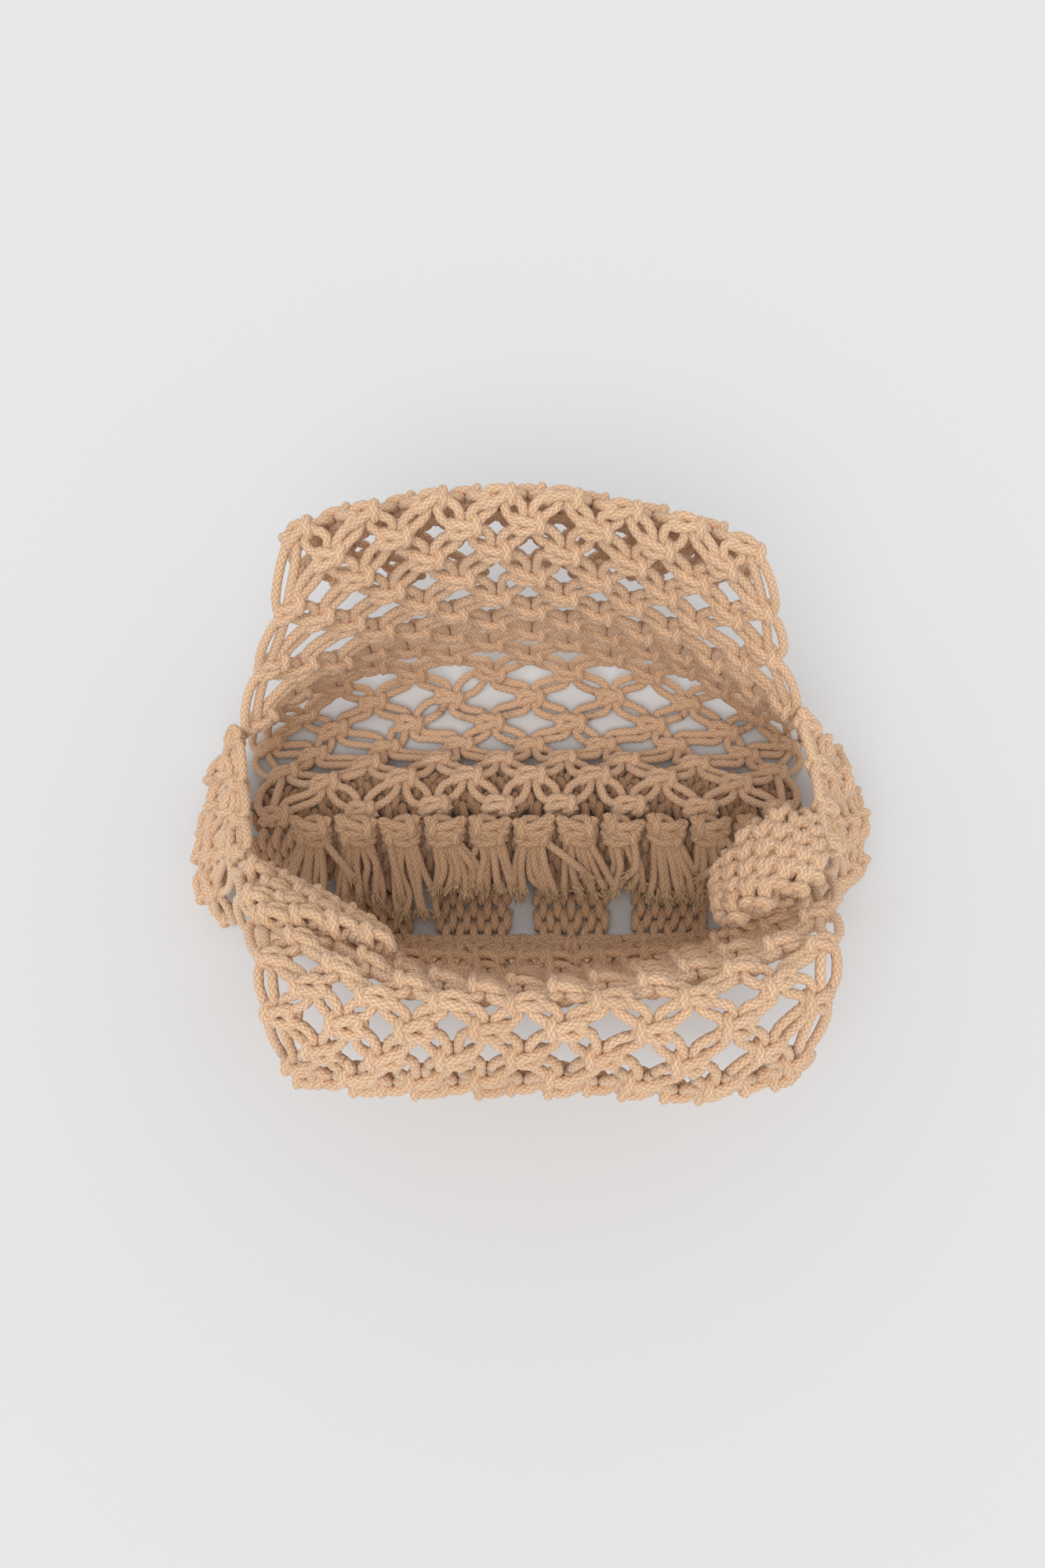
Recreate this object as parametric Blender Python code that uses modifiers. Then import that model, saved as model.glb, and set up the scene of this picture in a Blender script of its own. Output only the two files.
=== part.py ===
"""Open-mouthed macrame handbag in cotton cord, standing on its floor.

The bag is two knotted nets, a back one and a front one, tied together in a ridge along the middle of the
floor, where their cut ends make a fringe inside the bag. The back half of the floor is an open lattice, the
front half is dense blocks of knots with slits between them. Each net climbs its wall, rolls outwards over the
mouth and hangs down outside as a cuff. Short side nets close the two ends, under a braided rim.

Lengths in the tables are millimetres. +Y is the back of the bag, +X its right side, +Z up.
"""

import math

import bmesh
import bpy
from mathutils import Vector

MM = 0.001
CORD_D = 4.8  # the braided cotton cord
WALL_T = 9.0  # a knotted net, about two cords thick
HALF = WALL_T / 2
CENTRE_X = 4.84  # tables are about the photo's axis: these bring the box's centre to the origin
CENTRE_Y = -23.08
SLIT_PITCH, SLIT_W, SLIT_L, SLIT_Y = 57.0, 13.0, 37.0, -40.0
EYE_W, EYE_Y = 8.0, -66.0
TUFTS, TUFT_PITCH, TUFT_MIDDLE = 11, 24.4, 6.0
TUFT_LEAN = (-3, -1, 3, 4, 1, 3, 6, 3, 5, 2, -1)  # how far each tuft's cut end swings to the right
BACK_SPLIT, FRONT_SPLIT = 17.3, 17.3  # the rows where the cuffs begin, outside and below the roll of the mouth

# A row for each station. row: rows of knots counted from the floor seam. ym, zm: the net's middle line.
# xl, yl, zl and xr, yr, zr: its left and right edges. p: how square the corner between them is.
PANEL_COLUMNS = ("row", "ym", "zm", "xl", "yl", "zl", "xr", "yr", "zr", "p")
BACK = [
    (0, 9, 48, -159, 4, 36, 165, 8, 38, 2.0),
    (1, 30, 38, -160, 20, 30, 166, 22, 30, 2.5),
    (2, 46, 21, -160, 34, 16, 166, 36, 16, 3.0),
    (3, 62, 4.5, -161, 47, 4.5, 166, 48, 4.5, 3.5),
    (4, 77, 4.5, -161, 58, 4.5, 166, 58, 4.5, 3.5),
    (5, 94, 4.5, -160, 68, 6, 165, 69, 6, 3.5),
    (6, 107, 15, -158, 66, 29, 161, 67, 32, 3.5),
    (7, 108, 38, -157, 53, 57, 158, 54, 62, 3.2),
    (8, 105, 62, -155, 40, 80, 154, 41, 90, 3.0),
    (9, 100, 86, -153, 29, 98, 149, 29, 116, 2.8),
    (10, 95, 110, -150, 23, 112, 145, 23, 138, 2.6),
    (11, 90, 134, -147, 34, 126, 139, 34, 150, 2.4),
    (12, 87, 157, -142, 45, 141, 133, 44, 162, 2.3),
    (13, 86, 181, -134, 54, 157, 130, 52, 172, 2.2),
    (14, 87, 204, -127, 63, 172, 127, 60, 182, 2.2),
    (15, 92, 222, -121, 75, 190, 122, 67, 199, 2.1),
    (16, 100, 231, -118, 91, 202, 117, 78, 210, 2.0),
    (17, 109, 215, -118, 101, 188, 115, 89, 197, 2.0),
    (18, 115, 193, -119, 109, 168, 117, 98, 177, 2.0),
    (19, 118, 170, -121, 114, 148, 119, 104, 156, 2.0),
    (21, 119, 124, -124, 116, 108, 122, 110, 116, 2.0),
]
FRONT = [
    (0, -3, 47, -158, -6, 34, 163, -4, 36, 2.0),
    (1, -13, 27, -158, -14, 20, 163, -12, 20, 2.5),
    (2, -24, 7, -157, -24, 6, 162, -22, 6, 3.0),
    (2.6, -34, 4.5, -156, -32, 4.5, 161, -30, 4.5, 3.0),
    (3, -41, 4.5, -155, -38, 4.5, 160, -36, 4.5, 3.0),
    (4, -58, 4.5, -154, -52, 6, 158, -50, 6, 3.0),
    (5, -70, 16, -153, -59, 20, 157, -58, 20, 3.0),
    (6, -77, 35, -152, -59, 42, 156, -59, 46, 2.8),
    (7, -83, 58, -151, -52, 66, 155, -56, 75, 2.6),
    (8, -89, 81, -149, -46, 88, 154, -53, 102, 2.4),
    (9, -95, 105, -146, -44, 108, 152, -50, 126, 2.3),
    (10, -101, 128, -142, -48, 124, 151, -52, 146, 2.3),
    (11, -107, 151, -138, -64, 138, 150, -65, 158, 2.3),
    (12, -112, 173, -134, -80, 151, 149, -78, 170, 2.3),
    (13, -117, 194, -130, -95, 163, 147, -91, 181, 2.3),
    (14, -126, 210, -125, -108, 173, 146, -102, 188, 2.3),
    (15, -137, 217, -121, -120, 178, 143, -114, 190, 2.4),
    (16, -148, 211, -117, -133, 174, 141, -127, 185, 2.6),
    (17, -156, 192, -114, -143, 160, 138, -138, 171, 3.0),
    (18, -161, 170, -113, -149, 141, 136, -146, 152, 3.4),
    (20, -159, 128, -114, -149, 103, 136, -149, 112, 3.6),
]
# The side nets. xm, ym, zm: the middle line, from the floor to the rim. xb.. and xf..: back and front edges.
SIDE_COLUMNS = ("row", "xm", "ym", "zm", "xb", "yb", "zb", "xf", "yf", "zf", "p")
LEFT = [
    (0, -171, -22, 7, -164, 63, 10, -158, -51, 10, 2.8),
    (1, -179, -24, 26, -163, 61, 32, -157, -55, 34, 2.8),
    (2, -177, -19, 48, -162, 51, 53, -156, -52, 56, 2.6),
    (3, -168, -13, 70, -160, 39, 75, -154, -44, 82, 2.4),
    (4, -154, -8, 95, -158, 27, 96, -150, -40, 104, 2.0),
]
RIGHT = [
    (0, 179, -8, 7, 169, 64, 10, 162, -50, 10, 2.0),
    (1, 189, -8, 32, 166, 61, 35, 161, -55, 40, 2.0),
    (2, 185, -8, 61, 163, 49, 63, 160, -53, 70, 2.0),
    (3, 173, -8, 92, 159, 37, 91, 159, -50, 98, 2.0),
    (4, 156, -8, 122, 154, 26, 118, 157, -45, 129, 2.0),
]
# Dents and bulges of the panels. u, row: centre. wide, tall: reach. dy, dz: how far the net is pushed.
DENT_COLUMNS = ("u", "row", "wide", "tall", "dy", "dz")
BACK_DENTS = [(0.42, 16, 0.22, 2.6, 0, -5), (-0.78, 16, 0.2, 2.0, 0, 3)]
FRONT_DENTS = [(0.62, 18, 0.24, 2.6, -7, -1), (-0.6, 18, 0.3, 2.6, -2, 0), (-0.7, 11.5, 0.24, 2.6, 10, 4)]
# The braided rims over the side nets, back to front.
RIM_COLUMNS = ("x", "y", "z")
RIM_LEFT = [(-151, 17, 106), (-150, 7, 103), (-148, -6, 104), (-146, -19, 108), (-143, -34, 115)]
RIM_RIGHT = [(146, 16, 136), (149, 4, 134), (151, -11, 133), (151, -25, 136), (151, -39, 141)]
# The dense block of the front net that has folded in over its right corner: rows from its edge inwards.
BLOCK_COLUMNS = ("row", "xa", "ya", "za", "xb", "yb", "zb")
BLOCK = [
    (0, 140, -33, 149, 140, -67, 168),
    (1, 129, -31, 153, 129, -71, 173),
    (2, 118, -35, 153, 116, -76, 172),
    (3, 107, -44, 147, 105, -81, 166),
    (4, 99, -54, 135, 97, -80, 151),
    (5, 98, -58, 122, 98, -73, 135),
]


def spline(table, column, row):
    """A smooth value of one column between the stations of a table (a Hermite curve through them)."""
    xs = [r[0] for r in table]
    ys = [r[column] for r in table]
    n = len(xs)
    row = min(max(row, xs[0]), xs[-1])
    i = 0
    while i < n - 2 and row > xs[i + 1]:
        i += 1

    def slope(k):
        if k == 0:
            return (ys[1] - ys[0]) / (xs[1] - xs[0])
        if k == n - 1:
            return (ys[-1] - ys[-2]) / (xs[-1] - xs[-2])
        return (ys[k + 1] - ys[k - 1]) / (xs[k + 1] - xs[k - 1])

    h = xs[i + 1] - xs[i]
    t = (row - xs[i]) / h
    a, b = slope(i) * h, slope(i + 1) * h
    return (
        (2 * t**3 - 3 * t**2 + 1) * ys[i]
        + (t**3 - 2 * t**2 + t) * a
        + (3 * t**2 - 2 * t**3) * ys[i + 1]
        + (t**3 - t**2) * b
    )


def place(x, y, z):
    return Vector(((x - CENTRE_X) * MM, (y - CENTRE_Y) * MM, max(z, HALF) * MM))


def panel_point(table, dents, u, row):
    """u runs -1 at the left edge, 0 at the middle, 1 at the right edge."""
    ym, zm, xl, yl, zl, xr, yr, zr, p = (spline(table, k, row) for k in range(1, 10))
    xe, ye, ze = (xl, yl, zl) if u < 0 else (xr, yr, zr)
    a = abs(u)
    x, y, z = xe * a, ym + (ye - ym) * a**p, zm + (ze - zm) * a**p
    for du, dr, wide, tall, dy, dz in dents:
        much = math.exp(-(((u - du) / wide) ** 2) - ((row - dr) / tall) ** 2)
        y += dy * much
        z += dz * much
    return place(x, y, z)


def side_point(table, u, row):
    """u runs -1 at the back edge, 0 at the middle, 1 at the front edge."""
    xm, ym, zm, xb, yb, zb, xf, yf, zf, p = (spline(table, k, row) for k in range(1, 11))
    xe, ye, ze = (xb, yb, zb) if u < 0 else (xf, yf, zf)
    a = abs(u)
    return place(xm + (xe - xm) * a**p, ym + (ye - ym) * a, zm + (ze - zm) * a**p)


def block_point(u, row):
    xa, ya, za, xb, yb, zb = (spline(BLOCK, k, row) for k in range(1, 7))
    t = (u + 1) / 2
    return place(xa + (xb - xa) * t, ya + (yb - ya) * t, za + (zb - za) * t + 3 * math.sin(math.pi * t))


def material(name, colour, roughness):
    mat = bpy.data.materials.new(name)
    mat.use_nodes = True
    bsdf = mat.node_tree.nodes["Principled BSDF"]
    bsdf.inputs["Base Color"].default_value = (*colour, 1)
    bsdf.inputs["Roughness"].default_value = roughness
    bsdf.inputs["Metallic"].default_value = 0
    return mat


def net_sheet(name, point, us, rows, mat, collection, thickness=WALL_T):
    """A knotted net as a smooth sheet: a grid bent onto its surface, then thickened about its middle."""
    nu, nv = len(us) - 1, len(rows) - 1
    bm = bmesh.new()
    bmesh.ops.create_grid(bm, x_segments=nu, y_segments=nv, size=1)
    for v in bm.verts:
        i = round((v.co.x + 1) / 2 * nu)
        j = round((v.co.y + 1) / 2 * nv)
        v.co = point(us[i], rows[j])
    bmesh.ops.recalc_face_normals(bm, faces=bm.faces)
    me = bpy.data.meshes.new(name)
    bm.to_mesh(me)
    bm.free()
    ob = bpy.data.objects.new(name, me)
    collection.objects.link(ob)
    ob.data.materials.append(mat)
    solid = ob.modifiers.new("Thickness", "SOLIDIFY")
    solid.thickness = thickness * MM
    solid.offset = 0
    solid.use_even_offset = True
    solid.use_quality_normals = True
    return ob


def steps(low, high, count):
    return [low + (high - low) * k / count for k in range(count + 1)]


def tube(name, points, radius, mat, collection, resolution=2):
    """A braided edge as a round tube through its points, read from a smooth curve."""
    table = [(i, *p) for i, p in enumerate(points)]
    count = 4 * (len(points) - 1)
    curve = bpy.data.curves.new(name, "CURVE")
    curve.dimensions = "3D"
    line = curve.splines.new("POLY")
    line.points.add(count)
    for k in range(count + 1):
        row = (len(points) - 1) * k / count
        at = place(*(spline(table, c, row) for c in (1, 2, 3)))
        line.points[k].co = (*at, 1)
    curve.bevel_depth = radius * MM
    curve.bevel_resolution = resolution
    curve.use_fill_caps = True
    curve.materials.append(mat)
    ob = bpy.data.objects.new(name, curve)
    collection.objects.link(ob)
    return ob


def cutter(name, sides, width, length, at, collection):
    """An upright prism, longer along Y, that opens a gap between knots in the floor."""
    bm = bmesh.new()
    bmesh.ops.create_cone(bm, cap_ends=True, segments=sides, radius1=0.5, radius2=0.5, depth=1)
    turn = math.radians(90 if sides == 6 else 0)
    for v in bm.verts:
        x, y = v.co.x, v.co.y
        v.co.x = (x * math.cos(turn) - y * math.sin(turn)) * width * MM
        v.co.y = (x * math.sin(turn) + y * math.cos(turn)) * length * MM
        v.co.z *= 44 * MM
    me = bpy.data.meshes.new(name)
    bm.to_mesh(me)
    bm.free()
    ob = bpy.data.objects.new(name, me)
    ob.location = at
    ob.hide_render = True
    ob.display_type = "WIRE"
    collection.objects.link(ob)
    return ob


def tuft(index, mat, collection):
    """One tuft of the fringe: a wrapped head on the seam, and its cut ends spread over the front slope."""
    x = (index - (TUFTS - 1) / 2) * TUFT_PITCH + TUFT_MIDDLE
    lean = TUFT_LEAN[index]
    # along the tuft: y, z, half width, half thickness
    sections = [
        (1.0, 63.5, 5.0, 3.6),
        (-5.0, 61.5, 7.5, 6.0),
        (-12.0, 55.0, 7.5, 6.0),
        (-17.0, 48.5, 6.2, 4.6),
        (-26.0, 36.0, 8.0, 4.8),
        (-35.0, 26.5, 9.2, 5.2),
        (-41.0, 21.0, 9.6, 5.4),
    ]
    sides = 10
    bm = bmesh.new()
    rings = []
    for k, (y, z, wide, thick) in enumerate(sections):
        a = sections[min(k + 1, len(sections) - 1)]
        b = sections[max(k - 1, 0)]
        along = Vector((0, a[0] - b[0], a[1] - b[1])).normalized()
        up = Vector((0, -along.z, along.y))
        if up.z < 0:
            up = -up
        cx = x + lean * (k / (len(sections) - 1)) ** 1.5
        ring = []
        for s in range(sides):
            t = 2 * math.pi * s / sides
            p = Vector((cx + wide * math.cos(t), y, z)) + up * thick * math.sin(t)
            ring.append(bm.verts.new(place(*p)))
        rings.append(ring)
    for a, b in zip(rings, rings[1:]):
        for s in range(sides):
            bm.faces.new((a[s], a[(s + 1) % sides], b[(s + 1) % sides], b[s]))
    bm.faces.new(rings[0])
    bm.faces.new(reversed(rings[-1]))
    bmesh.ops.recalc_face_normals(bm, faces=bm.faces)
    name = f"fringe_tuft_{index + 1:02d}"
    me = bpy.data.meshes.new(name)
    bm.to_mesh(me)
    bm.free()
    me.shade_smooth()
    ob = bpy.data.objects.new(name, me)
    ob.data.materials.append(mat)
    collection.objects.link(ob)
    return ob


def build():
    for ob in list(bpy.data.objects):
        bpy.data.objects.remove(ob)
    parts = bpy.data.collections.new("macrame_handbag")
    cutters = bpy.data.collections.new("cutters")
    bpy.context.scene.collection.children.link(parts)
    bpy.context.scene.collection.children.link(cutters)
    cord = (0.66, 0.42, 0.245)
    shaded = (0.50, 0.29, 0.155)
    net_mat = material("cotton_net", cord, 0.9)
    dense_mat = material("dense_knots", shaded, 0.92)
    rim_mat = material("rim_braid", cord, 0.88)
    fringe_mat = material("fringe", shaded, 0.93)

    def back(u, row):
        return panel_point(BACK, BACK_DENTS, u, row)

    def front(u, row):
        return panel_point(FRONT, FRONT_DENTS, u, row)

    us = steps(-1, 1, 16)
    net_sheet("back_floor", back, us, steps(0, 4.15, 8), net_mat, parts)
    net_sheet("back_wall", back, us, steps(4.45, 14.0, 15) + steps(14.0, BACK_SPLIT, 9)[1:], net_mat, parts)
    net_sheet("back_cuff", back, us, steps(BACK_SPLIT + 0.15, 21, 5), net_mat, parts)
    floor = net_sheet("front_floor", front, us, [0, 0.6, 1.2, 1.7, 2.1, 2.6, 3.0, 3.5, 4.0, 4.5, 5.0, 5.5], dense_mat, parts)
    net_sheet("front_wall", front, us, steps(5.65, 13.0, 10) + steps(13.0, FRONT_SPLIT, 10)[1:], net_mat, parts)
    net_sheet("front_cuff", front, us, steps(FRONT_SPLIT + 0.15, 20, 4), net_mat, parts)
    sides = steps(-1, 1, 8)
    net_sheet("side_left", lambda u, r: side_point(LEFT, u, r), sides, steps(0, 4, 6), net_mat, parts)
    net_sheet("side_right", lambda u, r: side_point(RIGHT, u, r), sides, steps(0, 4, 6), net_mat, parts)
    net_sheet("folded_block", block_point, steps(-1, 1, 5), steps(0, 5, 10), dense_mat, parts, 8.0)
    tube("rim_left", RIM_LEFT, 5.5, rim_mat, parts)
    tube("rim_right", RIM_RIGHT, 5.5, rim_mat, parts)

    for k in range(-2, 3):
        at = place(k * SLIT_PITCH, SLIT_Y, 0)
        at.z = 6 * MM
        cut = cutter(f"slit_cutter_{k + 3}", 6, SLIT_W, SLIT_L, at, cutters)
        gap = floor.modifiers.new(f"Slit {k + 3}", "BOOLEAN")
        gap.object = cut
    for k in range(-2, 2):
        at = place((k + 0.5) * SLIT_PITCH, EYE_Y, 0)
        at.z = 12 * MM
        cut = cutter(f"eye_cutter_{k + 3}", 4, EYE_W, EYE_W, at, cutters)
        gap = floor.modifiers.new(f"Eye {k + 3}", "BOOLEAN")
        gap.object = cut

    for index in range(TUFTS):
        tuft(index, fringe_mat, parts)


build()
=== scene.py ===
"""The look of the open-mouthed macrame handbag: its nets are knotted from braided cotton cord.

Every cord is a tube swept along the path it takes through the square knots. The paths are laid out on the same
surfaces as the solid parts, in rows of knots, from the tables below. Lengths in the tables are millimetres.
"""

import math

import bpy
import numpy as np
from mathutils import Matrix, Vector


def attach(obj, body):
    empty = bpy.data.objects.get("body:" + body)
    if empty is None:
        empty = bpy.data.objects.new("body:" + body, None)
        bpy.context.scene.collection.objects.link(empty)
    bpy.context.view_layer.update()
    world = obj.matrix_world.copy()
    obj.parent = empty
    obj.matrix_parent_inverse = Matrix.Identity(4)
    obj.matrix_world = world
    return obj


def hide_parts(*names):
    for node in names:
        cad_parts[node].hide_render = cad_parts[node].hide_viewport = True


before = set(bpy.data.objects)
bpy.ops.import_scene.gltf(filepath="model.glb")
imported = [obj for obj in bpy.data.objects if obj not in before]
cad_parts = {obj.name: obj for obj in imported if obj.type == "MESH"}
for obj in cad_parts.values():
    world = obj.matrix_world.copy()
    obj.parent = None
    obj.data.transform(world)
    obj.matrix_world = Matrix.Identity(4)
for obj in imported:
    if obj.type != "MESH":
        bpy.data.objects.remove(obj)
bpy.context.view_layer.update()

MM = 0.001
D = 4.9  # the cord's diameter
K = 4.5  # the size of a knot: the unit of its paths below
HALF = 4.5
CENTRE_X = 4.84  # tables are about the photo's axis: these bring the box's centre to the origin
CENTRE_Y = -23.08
SLIT_PITCH, SLIT_W, SLIT_L, SLIT_Y = 57.0, 13.0, 37.0, -40.0
EYE_W, EYE_Y = 8.0, -66.0
TUFTS, TUFT_PITCH, TUFT_MIDDLE = 11, 24.4, 6.0
TUFT_LEAN = (-3, -1, 3, 4, 1, 3, 6, 3, 5, 2, -1)  # how far each tuft's cut end swings to the right
PANEL_COLUMNS = ("row", "ym", "zm", "xl", "yl", "zl", "xr", "yr", "zr", "p")
BACK = [
    (0, 9, 48, -159, 4, 36, 165, 8, 38, 2.0),
    (1, 30, 38, -160, 20, 30, 166, 22, 30, 2.5),
    (2, 46, 21, -160, 34, 16, 166, 36, 16, 3.0),
    (3, 62, 4.5, -161, 47, 4.5, 166, 48, 4.5, 3.5),
    (4, 77, 4.5, -161, 58, 4.5, 166, 58, 4.5, 3.5),
    (5, 94, 4.5, -160, 68, 6, 165, 69, 6, 3.5),
    (6, 107, 15, -158, 66, 29, 161, 67, 32, 3.5),
    (7, 108, 38, -157, 53, 57, 158, 54, 62, 3.2),
    (8, 105, 62, -155, 40, 80, 154, 41, 90, 3.0),
    (9, 100, 86, -153, 29, 98, 149, 29, 116, 2.8),
    (10, 95, 110, -150, 23, 112, 145, 23, 138, 2.6),
    (11, 90, 134, -147, 34, 126, 139, 34, 150, 2.4),
    (12, 87, 157, -142, 45, 141, 133, 44, 162, 2.3),
    (13, 86, 181, -134, 54, 157, 130, 52, 172, 2.2),
    (14, 87, 204, -127, 63, 172, 127, 60, 182, 2.2),
    (15, 92, 222, -121, 75, 190, 122, 67, 199, 2.1),
    (16, 100, 231, -118, 91, 202, 117, 78, 210, 2.0),
    (17, 109, 215, -118, 101, 188, 115, 89, 197, 2.0),
    (18, 115, 193, -119, 109, 168, 117, 98, 177, 2.0),
    (19, 118, 170, -121, 114, 148, 119, 104, 156, 2.0),
    (21, 119, 124, -124, 116, 108, 122, 110, 116, 2.0),
]
FRONT = [
    (0, -3, 47, -158, -6, 34, 163, -4, 36, 2.0),
    (1, -13, 27, -158, -14, 20, 163, -12, 20, 2.5),
    (2, -24, 7, -157, -24, 6, 162, -22, 6, 3.0),
    (2.6, -34, 4.5, -156, -32, 4.5, 161, -30, 4.5, 3.0),
    (3, -41, 4.5, -155, -38, 4.5, 160, -36, 4.5, 3.0),
    (4, -58, 4.5, -154, -52, 6, 158, -50, 6, 3.0),
    (5, -70, 16, -153, -59, 20, 157, -58, 20, 3.0),
    (6, -77, 35, -152, -59, 42, 156, -59, 46, 2.8),
    (7, -83, 58, -151, -52, 66, 155, -56, 75, 2.6),
    (8, -89, 81, -149, -46, 88, 154, -53, 102, 2.4),
    (9, -95, 105, -146, -44, 108, 152, -50, 126, 2.3),
    (10, -101, 128, -142, -48, 124, 151, -52, 146, 2.3),
    (11, -107, 151, -138, -64, 138, 150, -65, 158, 2.3),
    (12, -112, 173, -134, -80, 151, 149, -78, 170, 2.3),
    (13, -117, 194, -130, -95, 163, 147, -91, 181, 2.3),
    (14, -126, 210, -125, -108, 173, 146, -102, 188, 2.3),
    (15, -137, 217, -121, -120, 178, 143, -114, 190, 2.4),
    (16, -148, 211, -117, -133, 174, 141, -127, 185, 2.6),
    (17, -156, 192, -114, -143, 160, 138, -138, 171, 3.0),
    (18, -161, 170, -113, -149, 141, 136, -146, 152, 3.4),
    (20, -159, 128, -114, -149, 103, 136, -149, 112, 3.6),
]
SIDE_COLUMNS = ("row", "xm", "ym", "zm", "xb", "yb", "zb", "xf", "yf", "zf", "p")
LEFT = [
    (0, -171, -22, 7, -164, 63, 10, -158, -51, 10, 2.8),
    (1, -179, -24, 26, -163, 61, 32, -157, -55, 34, 2.8),
    (2, -177, -19, 48, -162, 51, 53, -156, -52, 56, 2.6),
    (3, -168, -13, 70, -160, 39, 75, -154, -44, 82, 2.4),
    (4, -154, -8, 95, -158, 27, 96, -150, -40, 104, 2.0),
]
RIGHT = [
    (0, 179, -8, 7, 169, 64, 10, 162, -50, 10, 2.0),
    (1, 189, -8, 32, 166, 61, 35, 161, -55, 40, 2.0),
    (2, 185, -8, 61, 163, 49, 63, 160, -53, 70, 2.0),
    (3, 173, -8, 92, 159, 37, 91, 159, -50, 98, 2.0),
    (4, 156, -8, 122, 154, 26, 118, 157, -45, 129, 2.0),
]
DENT_COLUMNS = ("u", "row", "wide", "tall", "dy", "dz")
BACK_DENTS = [(0.42, 16, 0.22, 2.6, 0, -5), (-0.78, 16, 0.2, 2.0, 0, 3)]
FRONT_DENTS = [(0.62, 18, 0.24, 2.6, -7, -1), (-0.6, 18, 0.3, 2.6, -2, 0), (-0.7, 11.5, 0.24, 2.6, 10, 4)]
RIM_COLUMNS = ("x", "y", "z")
RIM_LEFT = [(-151, 17, 106), (-150, 7, 103), (-148, -6, 104), (-146, -19, 108), (-143, -34, 115)]
RIM_RIGHT = [(146, 16, 136), (149, 4, 134), (151, -11, 133), (151, -25, 136), (151, -39, 141)]
BLOCK_COLUMNS = ("row", "xa", "ya", "za", "xb", "yb", "zb")
BLOCK = [
    (0, 140, -33, 149, 140, -67, 168),
    (1, 129, -31, 153, 129, -71, 173),
    (2, 118, -35, 153, 116, -76, 172),
    (3, 107, -44, 147, 105, -81, 166),
    (4, 99, -54, 135, 97, -80, 151),
    (5, 98, -58, 122, 98, -73, 135),
]
rng = np.random.default_rng(7)


# ---------------------------------------------------------------- surfaces
def spline(table, column, row):
    """Values of one column at many rows: the Hermite curve that the solid parts use."""
    xs = np.array([r[0] for r in table], float)
    ys = np.array([r[column] for r in table], float)
    slope = np.empty_like(ys)
    slope[1:-1] = (ys[2:] - ys[:-2]) / (xs[2:] - xs[:-2])
    slope[0] = (ys[1] - ys[0]) / (xs[1] - xs[0])
    slope[-1] = (ys[-1] - ys[-2]) / (xs[-1] - xs[-2])
    row = np.clip(row, xs[0], xs[-1])
    i = np.clip(np.searchsorted(xs, row, side="right") - 1, 0, len(xs) - 2)
    h = xs[i + 1] - xs[i]
    t = (row - xs[i]) / h
    a, b = slope[i] * h, slope[i + 1] * h
    return (
        (2 * t**3 - 3 * t**2 + 1) * ys[i]
        + (t**3 - 2 * t**2 + t) * a
        + (3 * t**2 - 2 * t**3) * ys[i + 1]
        + (t**3 - t**2) * b
    )


def panel(table, dents):
    def at(u, row):
        u, row = np.asarray(u, float), np.asarray(row, float)
        ym, zm, xl, yl, zl, xr, yr, zr, p = (spline(table, k, row) for k in range(1, 10))
        left = u < 0
        xe, ye, ze = np.where(left, xl, xr), np.where(left, yl, yr), np.where(left, zl, zr)
        a = np.abs(u)
        x, y, z = xe * a, ym + (ye - ym) * a**p, zm + (ze - zm) * a**p
        for du, dr, wide, tall, dy, dz in dents:
            much = np.exp(-(((u - du) / wide) ** 2) - ((row - dr) / tall) ** 2)
            y = y + dy * much
            z = z + dz * much
        return np.stack([x, y, np.maximum(z, HALF)], -1)

    return at


def side(table):
    def at(u, row):
        u, row = np.asarray(u, float), np.asarray(row, float)
        xm, ym, zm, xb, yb, zb, xf, yf, zf, p = (spline(table, k, row) for k in range(1, 11))
        back = u < 0
        xe, ye, ze = np.where(back, xb, xf), np.where(back, yb, yf), np.where(back, zb, zf)
        a = np.abs(u)
        return np.stack([xm + (xe - xm) * a**p, ym + (ye - ym) * a, zm + (ze - zm) * a**p], -1)

    return at


def block(u, row):
    u, row = np.asarray(u, float), np.asarray(row, float)
    xa, ya, za, xb, yb, zb = (spline(BLOCK, k, row) for k in range(1, 7))
    t = (u + 1) / 2
    return np.stack([xa + (xb - xa) * t, ya + (yb - ya) * t, za + (zb - za) * t + 3 * np.sin(np.pi * np.clip(t, 0, 1))], -1)


def lifted(surface, u, row, z, sign, span):
    """Points z above the surface, on its chosen side. Past its first and last rows the surface runs on straight."""
    u, row, z = (np.asarray(v, float) for v in (u, row, z))
    e = 0.02
    near = np.clip(row, span[0] + e * 4, span[1] - e * 4)
    du = surface(u + e, near) - surface(u - e, near)
    dr = surface(u, near + e * 4) - surface(u, near - e * 4)
    n = np.cross(du, dr)
    n /= np.maximum(np.linalg.norm(n, axis=-1, keepdims=True), 1e-9)
    return surface(u, near) + dr / (e * 8) * (row - near)[..., None] + n * (z * sign)[..., None]


def span_of(table):
    return table[0][0], table[-1][0]


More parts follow.
